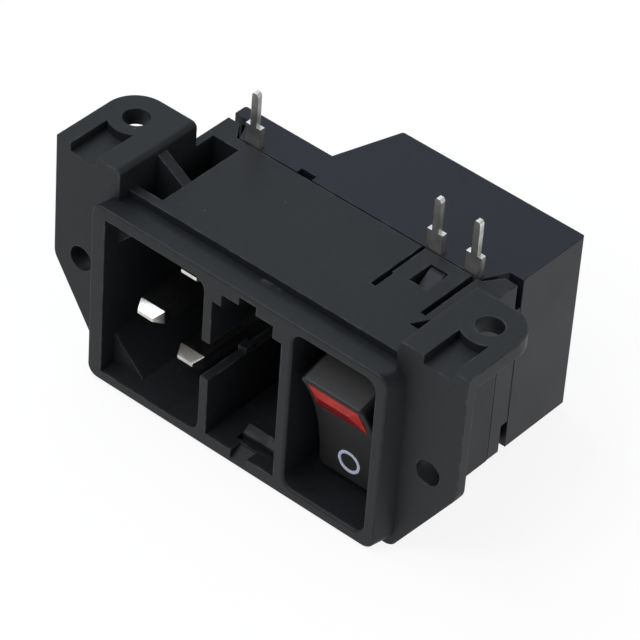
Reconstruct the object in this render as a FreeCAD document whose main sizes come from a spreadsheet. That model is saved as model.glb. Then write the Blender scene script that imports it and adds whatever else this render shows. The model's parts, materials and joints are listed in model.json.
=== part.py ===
import FreeCAD, Part
import math
import os
import re
from types import SimpleNamespace

import Sketcher
from FreeCAD import Placement, Rotation, Vector

# Panel inlet for mains leads: three-pin inlet, fuse bay and lit rocker switch in one moulded housing.
# All lengths are in millimetres. The pieces are drawn from the middle of the bezel's front face
# (X right, Y into the panel, Z up) and placed so that the origin of the part is the middle of the
# two panel screws, on the flange face that meets the panel.

sizes = {
    # frame
    "flange_setback": 2.8,
    "screw_rise": 0.8,
    # bezel and the tapered collar behind it
    "bezel_left": 24.28,
    "bezel_right": 23.2,
    "bezel_top": 13.95,
    "bezel_foot": 13.85,
    "bezel_corner": 1.6,
    "bezel_edge": 0.3,
    "collar_right": 24.7,
    "collar_depth": 4.6,
    "collar_draft": 10.0,
    # flange plate with slanted lower corners
    "flange_width": 65.9,
    "flange_thick": 1.5,
    "flange_foot": 14.2,
    "foot_width": 47.9,
    "knee_drop": 0.7,
    "knee_round": 2.5,
    "foot_round": 2.0,
    # board ears on top of the flange
    "seat_height": 18.0,
    "ear_gap": 44.6,
    "ear_depth": 14.05,
    "ear_thick": 2.0,
    "ear_crown": 0.8,
    "ear_corner": 4.5,
    "screw_span": 56.8,
    "board_hole": 3.6,
    "board_hole_back": 9.55,
    "panel_hole": 3.6,
    "panel_boss": 6.4,
    "panel_boss_depth": 1.3,
    "relief_width": 4.4,
    "relief_drop": 1.3,
    "boss_radius": 3.7,
    # housing block
    "block_width": 46.84,
    "block_top": 14.27,
    "block_foot": 12.85,
    "seam": 21.8,
    "tongue_reach": 2.4,
    "tongue_height": 4.0,
    "tongue_root": 3.55,
    "tongue_tip": 1.9,
    # openings in the top beside the ears
    "pit_inner": 18.0,
    "pit_front": 6.0,
    "pit_back": 20.1,
    "pit_floor": 13.1,
    "gusset_front": 9.7,
    "gusset_thick": 1.6,
    "gusset_top": 16.9,
    "side_pit_tip": 18.7,
    "side_pit_front": 9.5,
    "side_pit_back": 15.9,
    # snap tongue and its window
    "snap_root": 12.0,
    "snap_left": 10.45,
    "snap_slit": 0.5,
    "snap_wide_slit": 0.8,
    "snap_wide_end": 15.5,
    "snap_right": 18.3,
    "window_left": 13.4,
    "window_right": 16.2,
    "window_front": 15.8,
    "window_back": 19.95,
    # inlet cavity
    "inlet_offset": 13.75,
    "inlet_width": 16.5,
    "inlet_height": 24.5,
    "inlet_corner": 1.7,
    "inlet_chamfer": 5.0,
    "inlet_lip": 2.5,
    "inlet_depth": 18.5,
    "inlet_base": 1.5,
    # inlet pins
    "pin_width": 4.0,
    "pin_thick": 2.0,
    "pin_pitch": 14.0,
    "pin_stagger": 4.0,
    "live_tip": 4.3,
    "earth_tip": 1.0,
    "broad_bevel_run": 1.45,
    "broad_bevel_drop": 0.75,
    "edge_bevel_run": 1.4,
    "edge_bevel_drop": 0.75,
    "pin_fit": 0.05,
    "tail_width": 2.4,
    "tail_thick": 1.2,
    # fuse bay
    "bay_centre": 1.4,
    "bay_width": 11.2,
    "bay_floor": 11.7,
    "bay_roof": 9.85,
    "key_width": 8.26,
    "key_roof": 11.7,
    "crest_width": 2.74,
    "crest_roof": 13.0,
    "key_depth": 12.0,
    "bay_step": 20.0,
    "bay_rear_floor": 9.9,
    "bay_depth": 32.0,
    "bay_wall": 1.3,
    "latch_slot": 5.9,
    "latch_slot_depth": 7.0,
    "notch_width": 2.7,
    "notch_floor": 13.1,
    "notch_top": 12.0,
    "notch_run": 1.9,
    "catch_front": 2.3,
    "catch_back": 3.5,
    "catch_floor": 12.6,
    "catch_width": 8.0,
    "sill_back": 4.7,
    "sill_rise": 0.5,
    # switch well
    "well_centre": 15.05,
    "well_width": 12.9,
    "well_height": 24.5,
    "well_rise": 0.15,
    "well_corner": 1.6,
    "well_lip": 0.45,
    "well_depth": 8.0,
    # rocker
    "rocker_width": 10.0,
    "rocker_gap": 0.3,
    "rocker_length": 17.9,
    "rocker_reach": 10.0,
    "rocker_dish": 1.3,
    "rocker_tilt": 16.4,
    "rocker_wall": 1.0,
    "rocker_roof": 1.1,
    "rocker_skirt": 6.3,
    "rocker_edge": 0.35,
    "rocker_corner": 1.0,
    "cheek_back": 2.2,
    "cheek_half": 2.6,
    "pivot_depth": 12.0,
    "pivot_rise": 0.85,
    "trunnion": 2.5,
    "trunnion_length": 1.2,
    "running_fit": 0.05,
    # lens and lamp under it
    "lens_width": 8.0,
    "lens_low": 2.5,
    "lens_high": 8.0,
    "lens_ridge": 6.1,
    "lens_proud": 0.3,
    "lens_fit": 0.05,
    "lamp_size": 3.0,
    "lamp_length": 6.2,
    "lamp_tip": 1.0,
    "lamp_tip_length": 0.35,
    "lamp_height": 5.0,
    "lamp_gap": 0.3,
    "resistor_size": 1.8,
    "resistor_length": 5.0,
    "resistor_cap": 0.2,
    "resistor_drop": 5.5,
    # plungers and their springs
    "pole_pitch": 5.2,
    "plunger_size": 2.0,
    "plunger_tip": 8.3,
    "plunger_tail": 0.6,
    "plunger_bevel": 0.6,
    "guide_front": 5.2,
    "guide_back": 3.6,
    "guide_half": 1.75,
    "bore_bottom": 4.6,
    "spring_radius": 0.7,
    "spring_wire": 0.3,
    "spring_sides": 4,
    "spring_turns": 4,
    # see-saw contacts
    "seesaw_depth": 20.65,
    "seesaw_tilt": 8.0,
    "seesaw_vee": 12.0,
    "seesaw_arm": 5.9,
    "seesaw_thick": 0.5,
    "seesaw_width": 2.2,
    "contact_arm": 5.0,
    "tip_radius": 1.0,
    "tip_thick": 0.4,
    "shank_radius": 0.5,
    "fixed_tip_thick": 0.9,
    # stamped strips and board terminals
    "strip_gap": 0.2,
    "terminal_thick": 0.8,
    "shoulder_width": 2.45,
    "shoulder_height": 17.3,
    "board_pin_width": 1.0,
    "board_pin_top": 22.4,
    "board_pin_taper": 0.25,
    "output_pitch": 6.1,
    "earth_board_offset": 17.5,
    "strip_thick": 0.5,
    "leaf_width": 4.6,
    "fuse_pitch": 10.8,
    "leaf_reach": 0.35,
    "leaf_run": 2.0,
    "rear_leaf": 25.7,
    "front_leaf": 11.2,
    "feed_offset": 8.65,
    "feed_clear": 0.25,
    "saddle_half": 1.5,
    "saddle_gap": 0.1,
    "crossover_depth": 24.4,
    # rear cover
    "seam_gap": 0.2,
    "cover_wall": 1.2,
    "cover_back": 37.56,
    "cover_shelf": 27.5,
    "cover_step": 5.8,
    "cover_slant": 3.2,
    "cover_corner": 0.4,
    "corner_notch": 3.7,
    "notch_clear": 0.3,
    "cover_rebate": 0.06,
    "key_notch_centre": 8.8,
    "key_notch_width": 2.4,
    "key_notch_depth": 0.95,
    "catch_nose_width": 2.2,
    "catch_lip": 1.2,
    "catch_clear": 0.2,
}
size = SimpleNamespace(**sizes)

doc = FreeCAD.newDocument("panel_inlet")
sheet = doc.addObject("Spreadsheet::Sheet", "dims")
for row, (alias, value) in enumerate(sizes.items(), 1):
    sheet.set(f"A{row}", alias)
    sheet.set(f"B{row}", str(value))
    sheet.setAlias(f"B{row}", alias)
doc.recompute()

# Places that several pieces share, as expressions on the sheet
inlet_left = "(-inlet_offset - inlet_width/2)"
inlet_right = "(-inlet_offset + inlet_width/2)"
live_x = "(-inlet_offset + pin_stagger/2)"
earth_x = "(-inlet_offset - pin_stagger/2)"
bay_left = "(bay_centre - bay_width/2)"
bay_right = "(bay_centre + bay_width/2)"
tube_left = f"({bay_left} - bay_wall)"
tube_right = f"({bay_right} + bay_wall)"
tube_end = "(bay_depth + bay_wall)"
chamber_left = "(well_centre - rocker_width/2 - rocker_gap)"
chamber_right = "(well_centre + rocker_width/2 + rocker_gap)"
well_floor = "(well_rise - well_height/2)"
well_roof = "(well_rise + well_height/2)"
fuse_middle = "((bay_roof - bay_floor)/2)"
strip_front = "(seam + strip_gap)"
saddle_front = "(seesaw_depth + seesaw_thick/2 + saddle_gap)"
contact_lean = "(contact_arm*tan(seesaw_vee) - seesaw_thick/2)"
contact_height = f"(pivot_rise - contact_arm*cos(seesaw_tilt) - {contact_lean}*sin(seesaw_tilt))"
dish_radius = "((rocker_length*rocker_length/4 + rocker_dish*rocker_dish)/(2*rocker_dish))"
poles = {"line": "(-1)", "neutral": "1"}

views = {"front": ("XZ_Plane", -1), "plan": ("XY_Plane", 1), "side": ("YZ_Plane", 1)}
parts = []


def bound(text):
    """Point each size named in an expression at its cell."""
    def cell(word):
        return f"dims.{word[0]}" if word[0] in sizes else word[0]

    return re.sub(r"[a-z][a-z_]*", cell, text)


def fix_point(sketch, geometry, point, x, y):
    for kind, text in (("DistanceX", x), ("DistanceY", y)):
        index = sketch.addConstraint(Sketcher.Constraint(kind, -1, 1, geometry, point, 1.0))
        sketch.setExpression(f"Constraints[{index}]", bound(text))


def draw_polygon(sketch, points):
    first, count = sketch.GeometryCount, len(points)
    ring = [Vector(math.cos(turn), math.sin(turn), 0)
            for turn in (2 * math.pi * i / count for i in range(count))]
    for i in range(count):
        sketch.addGeometry(Part.LineSegment(ring[i], ring[(i + 1) % count]))
    for i, (x, y) in enumerate(points):
        sketch.addConstraint(Sketcher.Constraint("Coincident", first + i, 2, first + (i + 1) % count, 1))
        fix_point(sketch, first + i, 1, x, y)


def draw_circle(sketch, x, y, radius):
    geometry = sketch.addGeometry(Part.Circle(Vector(1, 1, 0), Vector(0, 0, 1), 1))
    fix_point(sketch, geometry, 3, x, y)
    index = sketch.addConstraint(Sketcher.Constraint("Radius", geometry, 1.0))
    sketch.setExpression(f"Constraints[{index}]", bound(radius))


def rect(x0, x1, y0, y1):
    return [(x0, y0), (x1, y0), (x1, y1), (x0, y1)]


def mirrored(points):
    return [(f"-({x})", y) for x, y in points]


def prism(body, kind, name, view, start, length, loops):
    """Pad or pocket that begins at start and runs by length along the view's positive axis."""
    role, sign = views[view]
    sketch = body.newObject("Sketcher::SketchObject", f"{name}_sketch")
    plane = next(item for item in body.Origin.OriginFeatures if item.Role == role)
    sketch.AttachmentSupport = [(plane, "")]
    sketch.MapMode = "FlatFace"
    sketch.setExpression("AttachmentOffset.Base.z", bound(f"{sign}*({start})"))
    for loop in loops:
        if isinstance(loop, tuple):
            draw_circle(sketch, *loop)
        else:
            draw_polygon(sketch, loop)
    feature = body.newObject(f"PartDesign::{kind}", name)
    feature.Profile = sketch
    feature.setExpression("Length", bound(length))
    feature.Reversed = (kind == "Pad") == (sign < 0)
    return feature


def add(body, name, view, start, length, *loops):
    return prism(body, "Pad", name, view, start, length, loops)


def cut(body, name, view, start, length, *loops):
    return prism(body, "Pocket", name, view, start, length, loops)


def soften(body, kind, name, amount, chosen):
    """Round or bevel the edges that the test picks."""
    doc.recompute()
    base = body.Tip
    edges = [f"Edge{i}" for i, edge in enumerate(base.Shape.Edges, 1) if chosen(edge)]
    feature = body.newObject(f"PartDesign::{kind}", name)
    feature.Base = (base, edges)
    feature.setExpression({"Fillet": "Radius", "Chamfer": "Size"}[kind], bound(amount))


def fillet(body, name, radius, chosen):
    soften(body, "Fillet", name, radius, chosen)


def near(a, b):
    return abs(a - b) < 0.01


def runs_along(edge, axis):
    """Straight edge parallel to an axis; its middle gives the place."""
    box = edge.BoundBox
    spans = {"x": box.XLength, "y": box.YLength, "z": box.ZLength}
    return spans.pop(axis) > 0.01 and max(spans.values()) < 0.001


def middle(edge):
    return edge.BoundBox.Center


def new_body(label, frame="bezel", pole="0"):
    """Body in one of the three frames: the bezel's, the rocker's or a see-saw's."""
    body = doc.addObject("PartDesign::Body", label)
    settle(body, label, frame, pole)
    return body


def settle(item, label, frame="bezel", pole="0"):
    frames = {
        "bezel": ("0", "0", "0", "0"),
        "rocker": ("well_centre", "pivot_depth", "pivot_rise", "rocker_tilt"),
        "seesaw": (f"well_centre + {pole}*pole_pitch/2", "seesaw_depth", "pivot_rise", "-seesaw_tilt"),
    }
    x, y, z, turn = frames[frame]
    item.Label = label
    item.Placement = Placement(Vector(), Rotation(Vector(1, 0, 0), 0))
    item.setExpression("Placement.Base.x", bound(x))
    item.setExpression("Placement.Base.y", bound(f"{y} - flange_setback"))
    item.setExpression("Placement.Base.z", bound(f"{z} - screw_rise"))
    item.setExpression("Placement.Rotation.Angle", bound(turn))
    parts.append(item)


def make_housing():
    body = new_body("inlet_housing")
    taper = "collar_depth*tan(collar_draft)"
    add(body, "collar", "side", "-bezel_left", "bezel_left + collar_right",
        [("0", "-bezel_foot"), ("collar_depth", f"{taper} - bezel_foot"),
         ("collar_depth", f"bezel_top - {taper}"), ("0", "bezel_top")])
    cut(body, "collar_flare", "plan", "-bezel_foot", "bezel_foot + bezel_top",
        [("bezel_right", "0"), ("collar_right", "0"), ("collar_right", "collar_depth")])
    fillet(body, "collar_corners", "bezel_corner",
           lambda edge: edge.BoundBox.YLength > size.collar_depth / 2)
    fillet(body, "bezel_rim", "bezel_edge", lambda edge: near(edge.BoundBox.YMax, 0))

    right_flange = [("flange_width/2", "seat_height"), ("flange_width/2", "-knee_drop"),
                    ("foot_width/2", "-flange_foot")]
    right_step = [("ear_gap/2", "bezel_top/2"), ("ear_gap/2", "seat_height")]
    add(body, "flange", "front", "flange_setback", "flange_thick",
        right_flange + mirrored(right_flange[::-1]) + mirrored(right_step[::-1]) + right_step)
    fillet(body, "flange_knees", "knee_round", lambda edge: runs_along(edge, "y")
           and near(abs(middle(edge).x), size.flange_width / 2) and near(middle(edge).z, -size.knee_drop))
    fillet(body, "flange_feet", "foot_round", lambda edge: runs_along(edge, "y")
           and near(abs(middle(edge).x), size.foot_width / 2) and near(middle(edge).z, -size.flange_foot))

    add(body, "block", "front", "collar_depth", "seam - collar_depth",
        rect("-block_width/2", "block_width/2", "-block_foot", "block_top"))
    make_ears(body)
    add(body, "fuse_tube", "front", "seam", f"{tube_end} - seam",
        rect(tube_left, tube_right, "-bay_rear_floor - bay_wall", "bay_roof + bay_wall"))
    side = "block_width/2"
    tongue = [(side, "seam"), (side, "seam + tongue_reach"), (f"{side} - tongue_tip", "seam + tongue_reach"),
              (f"{side} - tongue_root", "seam")]
    add(body, "corner_tongues", "plan", "block_top - tongue_height", "tongue_height",
        tongue, mirrored(tongue))
    make_top_details(body)
    make_inlet_cavity(body)
    make_fuse_bay(body)
    make_switch_well(body)
    return body


def make_ears(body):
    ear = [("ear_gap/2", "pit_floor"), ("ear_gap/2", "seat_height"), ("flange_width/2", "seat_height"),
           ("flange_width/2", "seat_height - ear_thick"), ("block_width/2", "seat_height - ear_thick"),
           ("block_width/2", "pit_floor")]
    add(body, "ears", "front", "flange_setback", "ear_depth", ear, mirrored(ear))
    back = size.flange_setback + size.ear_depth
    fillet(body, "ear_corners", "ear_corner", lambda edge: runs_along(edge, "z")
           and near(abs(middle(edge).x), size.flange_width / 2) and near(middle(edge).y, back))
    fillet(body, "ear_crowns", "ear_crown", lambda edge: runs_along(edge, "y")
           and near(abs(middle(edge).x), size.ear_gap / 2) and near(middle(edge).z, size.seat_height))
    boss_back = "flange_setback + board_hole_back"
    relief = rect("(screw_span - relief_width)/2", "(screw_span + relief_width)/2",
                  "flange_setback", boss_back)
    cut(body, "ear_reliefs", "plan", "seat_height - relief_drop", "relief_drop", relief, mirrored(relief))
    bosses = [(f"{sign}*screw_span/2", boss_back, "boss_radius") for sign in ("1", "-1")]
    add(body, "ear_bosses", "plan", "seat_height - relief_drop", "relief_drop", *bosses)
    holes = [(f"{sign}*screw_span/2", boss_back, "board_hole/2") for sign in ("1", "-1")]
    cut(body, "board_holes", "plan", "seat_height - 2*ear_thick", "2*ear_thick", *holes)
    places = [(f"{sign}*screw_span/2", "screw_rise") for sign in ("1", "-1")]
    add(body, "panel_bosses", "front", "flange_setback + flange_thick", "panel_boss_depth",
        *((*place, "panel_boss/2") for place in places))
    cut(body, "panel_holes", "front", "flange_setback", "flange_thick + panel_boss_depth",
        *((*place, "panel_hole/2") for place in places))


def make_top_details(body):
    pit = [("-ear_gap/2", "pit_floor + pit_inner - ear_gap/2"), ("-pit_inner", "pit_floor"),
           ("-pit_inner", "block_top")]
    cut(body, "left_pit", "front", "pit_front", "pit_back - pit_front", pit + [("-ear_gap/2", "block_top")])
    add(body, "left_gusset", "front", "gusset_front", "gusset_thick", pit + [("-ear_gap/2", "gusset_top")])
    cut(body, "right_pit", "plan", "pit_floor", "block_top - pit_floor",
        [("side_pit_tip", "side_pit_front"), ("ear_gap/2", "side_pit_front"), ("ear_gap/2", "side_pit_back")])
    through = f"block_top - {well_roof}"
    cut(body, "snap_slits", "plan", well_roof, through,
        rect("snap_left", "snap_left + snap_slit", "snap_wide_end", "seam"),
        rect("snap_right", "snap_right + snap_wide_slit", "snap_root", "seam"),
        rect("window_left", "window_right", "window_front", "window_back"))
    cut(body, "snap_wide_slit", "plan", well_roof, through,
        rect("snap_left", "snap_left + snap_wide_slit", "snap_root", "snap_wide_end"))


def make_inlet_cavity(body):
    half = "inlet_height/2"
    cut(body, "inlet_mouth", "front", "0", "inlet_lip", rect(inlet_left, inlet_right, f"-{half}", half))
    cut(body, "inlet_cavity", "front", "inlet_lip", "inlet_depth - inlet_lip",
        [(f"{inlet_left} + inlet_chamfer", f"-{half}"), (inlet_right, f"-{half}"), (inlet_right, half),
         (f"{inlet_left} + inlet_chamfer", half), (inlet_left, f"{half} - inlet_chamfer"),
         (inlet_left, f"inlet_chamfer - {half}")])
    right = size.inlet_width / 2 - size.inlet_offset
    fillet(body, "inlet_corners", "inlet_corner", lambda edge: runs_along(edge, "y")
           and near(middle(edge).x, right) and near(abs(middle(edge).z), size.inlet_height / 2))
    cut(body, "inlet_back", "front", "inlet_depth + inlet_base", "seam - inlet_depth - inlet_base",
        rect(f"{earth_x} - pin_width/2 - pin_fit", f"{tube_left} - bay_wall", "bay_wall - block_foot",
             "block_top - bay_wall"))
    slots = []
    for x, z in ((live_x, "pin_pitch/2"), (live_x, "-pin_pitch/2"), (earth_x, "0")):
        across, upright = "(pin_width/2 + pin_fit)", "(pin_thick/2 + pin_fit)"
        slots.append(rect(f"{x} - {across}", f"{x} + {across}", f"{z} - {upright}", f"{z} + {upright}"))
    cut(body, "pin_slots", "front", "inlet_depth", "inlet_base", *slots)


def make_fuse_bay(body):
    cut(body, "fuse_bay", "front", "0", "bay_step", rect(bay_left, bay_right, "-bay_floor", "bay_roof"))
    cut(body, "fuse_bay_rear", "front", "bay_step", "bay_depth - bay_step",
        rect(bay_left, bay_right, "-bay_rear_floor", "bay_roof"))
    key = [("bay_centre + key_width/2", "bay_roof"), ("bay_centre + key_width/2", "key_roof"),
           ("bay_centre + crest_width/2", "key_roof"), ("bay_centre + crest_width/2", "crest_roof"),
           ("bay_centre - crest_width/2", "crest_roof"), ("bay_centre - crest_width/2", "key_roof"),
           ("bay_centre - key_width/2", "key_roof"), ("bay_centre - key_width/2", "bay_roof")]
    cut(body, "bay_key", "front", "0", "key_depth", key)
    cut(body, "latch_slot", "front", "0", "latch_slot_depth",
        rect(inlet_right, bay_left, "-latch_slot/2", "latch_slot/2"))
    cut(body, "finger_notch", "side", "bay_centre - notch_width/2", "notch_width",
        [("0", "-notch_floor"), ("notch_run", "-notch_top"), ("notch_run", "-bay_floor"),
         ("0", "-bay_floor")])
    cut(body, "catch_recess", "side", f"{bay_right} - catch_width", "catch_width",
        rect("catch_front", "catch_back", "-catch_floor", "-bay_floor"))
    add(body, "catch_sill", "side", f"{bay_right} - catch_width", "catch_width",
        [("catch_back", "-bay_floor"), ("sill_back", "-bay_floor"), ("sill_back", "sill_rise - bay_floor")])
    half = "(leaf_run + 2*feed_clear)"
    bands = [leaf_band(sign, "feed_clear") for sign in poles.values()]
    cut(body, "rear_windows", "front", f"rear_leaf - {half}", f"2*{half}",
        *(rect(tube_left, bay_left, *band) for band in bands))
    channel_left, channel_right = "feed_offset - feed_clear", "feed_offset + strip_thick + feed_clear"
    cut(body, "front_windows", "front", f"front_leaf - {half}", f"2*{half}",
        *(rect(bay_right, channel_left, *band) for band in bands))
    cut(body, "feed_channels", "front", f"front_leaf - {half}", f"seam - front_leaf + {half}",
        *(rect(channel_left, channel_right, *band) for band in bands))
    line_high = bands[0][1]
    cut(body, "saddle_pass", "front", f"{saddle_front} - feed_clear", f"seam - {saddle_front} + feed_clear",
        rect(channel_left, chamber_left, "pivot_rise - saddle_half - feed_clear", line_high))


def leaf_band(sign, clear="0"):
    """Lowest and highest Z of a fuse contact, with room round it."""
    centre = f"({fuse_middle} - {sign}*fuse_pitch/2)"
    return f"{centre} - leaf_width/2 - {clear}", f"{centre} + leaf_width/2 + {clear}"


def make_switch_well(body):
    left, right = "well_centre - well_width/2", "well_centre + well_width/2"
    cut(body, "switch_well", "front", "0", "well_depth", rect(left, right, well_floor, well_roof))
    ends = [size.well_rise + sign * size.well_height / 2 for sign in (-1, 1)]
    sides = [size.well_centre + sign * size.well_width / 2 for sign in (-1, 1)]
    fillet(body, "well_corners", "well_corner", lambda edge: runs_along(edge, "y")
           and any(near(middle(edge).x, x) for x in sides) and any(near(middle(edge).z, z) for z in ends))
    fillet(body, "well_rim", "well_lip", lambda edge: near(edge.BoundBox.YMax, 0)
           and abs(middle(edge).x - size.well_centre) < size.well_width / 2 + size.well_lip)
    cut(body, "switch_chamber", "front", "well_depth", "seam - well_depth",
        rect(chamber_left, chamber_right, well_floor, well_roof))
    cut(body, "trunnion_bores", "side", f"{chamber_left} - trunnion_length",
        f"{chamber_right} - {chamber_left} + 2*trunnion_length",
        ("pivot_depth", "pivot_rise", "trunnion/2 + running_fit"))


def make_cover():
    body = new_body("rear_cover")
    front = "(seam + seam_gap)"
    half = "block_width/2"
    shelf_edge = "(-cover_step - cover_slant)"
    shell = add(body, "shell", "plan", "-block_foot", "block_foot + block_top",
                [(f"-{half}", front), (half, front), (half, "cover_back"), ("-cover_step", "cover_back"),
                 (shelf_edge, "cover_shelf"), (f"-{half}", "cover_shelf")])
    doc.recompute()
    open_face = [f"Face{i}" for i, face in enumerate(shell.Shape.Faces, 1)
                 if near(face.BoundBox.YMax, size.seam + size.seam_gap)]
    hollow = body.newObject("PartDesign::Thickness", "hollow")
    hollow.Base = (shell, open_face)
    hollow.setExpression("Value", bound("cover_wall"))
    hollow.Reversed = True
    hollow.Join = 1
    outer = [(size.block_width / 2, size.cover_back), (-size.cover_step, size.cover_back),
             (-size.block_width / 2, size.cover_shelf)]
    fillet(body, "cover_corners", "cover_corner", lambda edge: runs_along(edge, "z")
           and any(near(middle(edge).x, x) and near(middle(edge).y, y) for x, y in outer))
    tall, notch_back = "(tongue_height + notch_clear)", "seam + corner_notch"
    rebate = rect(f"{half} - cover_rebate", half, "-block_foot", "block_top")
    cut(body, "side_rebates", "front", front, "corner_notch - seam_gap", rebate, mirrored(rebate))
    notch = [(half, front), (half, notch_back), (f"{half} - tongue_tip - notch_clear", notch_back),
             (f"{half} - tongue_root - notch_clear", front)]
    cut(body, "tongue_notches", "plan", f"block_top - {tall}", tall, notch, mirrored(notch))
    slot = rect(f"{half} - cover_wall - seam_gap", half, "-block_foot", f"{tall} - block_foot")
    cut(body, "foot_slots", "front", "seam + tongue_reach", "corner_notch - tongue_reach",
        slot, mirrored(slot))
    slots = []
    for x in output_places() + ["-earth_board_offset"]:
        across = "(shoulder_width/2 + pin_fit)"
        slots.append(rect(f"{x} - {across}", f"{x} + {across}", "block_top - cover_wall", "block_top"))
    cut(body, "terminal_slots", "front", front, "strip_gap - seam_gap + terminal_thick + pin_fit", *slots)
    cut(body, "key_notch", "front", front, "key_notch_depth",
        rect("-key_notch_centre - key_notch_width/2", "-key_notch_centre + key_notch_width/2",
             "block_top - cover_wall", "block_top"))
    top = f"({well_roof} - catch_clear)"
    root = "(seam + 2*catch_lip)"
    heel, nose_back, nose_top = f"{root} - catch_lip", "window_back - catch_clear", "block_top - catch_clear"
    add(body, "catch_tongue", "side", "(window_left + window_right - catch_nose_width)/2", "catch_nose_width",
        [("window_front", f"{top} - catch_lip"), (root, f"{top} - catch_lip"),
         (root, "block_top - cover_wall/2"), (heel, "block_top - cover_wall/2"), (heel, top),
         (nose_back, top), (nose_back, nose_top), (f"{nose_back} - strip_thick", nose_top),
         ("window_front + strip_thick", top), ("window_front", top)])
    return body


def output_places():
    return [f"(well_centre + {sign}*output_pitch/2)" for sign in poles.values()]


def make_pin(label, x, z, tip):
    body = new_body(label)
    add(body, "blade", "front", tip, f"{strip_front} - {tip}",
        rect(f"{x} - pin_width/2", f"{x} + pin_width/2", f"{z} - pin_thick/2", f"{z} + pin_thick/2"))
    add(body, "tail", "front", strip_front, "terminal_thick",
        rect(f"{x} - tail_width/2", f"{x} + tail_width/2", f"{z} - tail_thick/2", f"{z} + tail_thick/2"))
    broad, narrow = [], []
    for sign in ("1", "-1"):
        face, side = f"{z} + {sign}*pin_thick/2", f"{x} + {sign}*pin_width/2"
        broad.append([(tip, face), (f"{tip} + broad_bevel_run", face),
                      (tip, f"{face} - {sign}*broad_bevel_drop")])
        narrow.append([(side, tip), (side, f"{tip} + edge_bevel_run"),
                       (f"{side} - {sign}*edge_bevel_drop", tip)])
    cut(body, "broad_bevels", "side", f"{x} - pin_width/2", "pin_width", *broad)
    cut(body, "edge_bevels", "plan", f"{z} - pin_thick/2", "pin_thick", *narrow)
    return body


def tail_hole(body, x, z, thick):
    cut(body, "tail_hole", "front", strip_front, thick,
        rect(f"{x} - tail_width/2 - pin_fit", f"{x} + tail_width/2 + pin_fit",
             f"{z} - tail_thick/2 - pin_fit", f"{z} + tail_thick/2 + pin_fit"))


def board_end(x):
    """Shoulders and tapered solder pin at the top of a terminal, from the right side to the left."""
    shoulder, pin = "shoulder_width/2", "board_pin_width/2"
    side = [(shoulder, "shoulder_height"), (pin, "shoulder_height"),
            (pin, "board_pin_top - 2*board_pin_taper"),
            (f"({pin} - board_pin_taper/4)", "board_pin_top - board_pin_taper"),
            (f"({pin} - board_pin_taper)", "board_pin_top")]
    return [(f"{x} + {dx}", z) for dx, z in side] + [(f"{x} - {dx}", z) for dx, z in side[::-1]]


def make_earth_terminal():
    body = new_body("earth_terminal")
    x = "(-earth_board_offset)"
    right, left, foot = f"{earth_x} + tail_width*3/4", f"{x} - shoulder_width/2", "-pin_thick"
    add(body, "strip", "front", strip_front, "terminal_thick",
        [(f"{left} + tail_thick", foot), (right, foot), (right, "pin_thick"),
         (f"{x} + shoulder_width/2", "pin_thick + tail_width"), *board_end(x),
         (left, "tail_thick - pin_thick")])
    tail_hole(body, earth_x, "0", "terminal_thick")
    return body


def make_output_terminal(pole, sign):
    body = new_body(f"{pole}_output_terminal")
    x = f"(well_centre + {sign}*output_pitch/2)"
    foot = f"{contact_height} - tip_radius - strip_thick"
    add(body, "strip", "front", strip_front, "terminal_thick",
        [(f"{x} - shoulder_width/2", foot), (f"{x} + shoulder_width/2", foot)] + board_end(x))
    cut(body, "rivet_hole", "front", strip_front, "terminal_thick",
        (f"well_centre + {sign}*pole_pitch/2", contact_height, "shank_radius + pin_fit"))
    return body


def make_fixed_tip(pole, sign):
    body = new_body(f"{pole}_fixed_tip")
    x = f"well_centre + {sign}*pole_pitch/2"
    add(body, "head", "front", f"{strip_front} - fixed_tip_thick", "fixed_tip_thick",
        (x, contact_height, "tip_radius"))
    add(body, "shank", "front", strip_front, "terminal_thick", (x, contact_height, "shank_radius"))
    return body


def make_inlet_contact(pole, sign):
    """Strip from a live pin to the rear cap of its fuse, bowed into the bay."""
    body = new_body(f"{pole}_inlet_contact")
    outer, inner = f"({tube_left} - 2*strip_thick)", f"({tube_left} - strip_thick)"
    crest = f"({bay_left} + leaf_reach)"
    z = f"(-{sign}*pin_pitch/2)"
    low, high = leaf_band(sign)
    plate_low = {"line": low, "neutral": f"{z} - pin_thick"}[pole]
    plate_high = {"line": f"{z} + pin_thick", "neutral": high}[pole]
    add(body, "plate", "front", strip_front, "strip_thick",
        rect(f"{live_x} - tail_width*3/5", inner, plate_low, plate_high))
    add(body, "leaf", "plan", low, "leaf_width",
        [(outer, strip_front), (inner, strip_front), (inner, "rear_leaf - leaf_run"), (crest, "rear_leaf"),
         (inner, "rear_leaf + leaf_run"), (outer, "rear_leaf + leaf_run"),
         (f"{crest} - strip_thick*5/4", "rear_leaf"), (outer, "rear_leaf - leaf_run + strip_thick/3")])
    tail_hole(body, live_x, z, "strip_thick")
    return body


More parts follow.
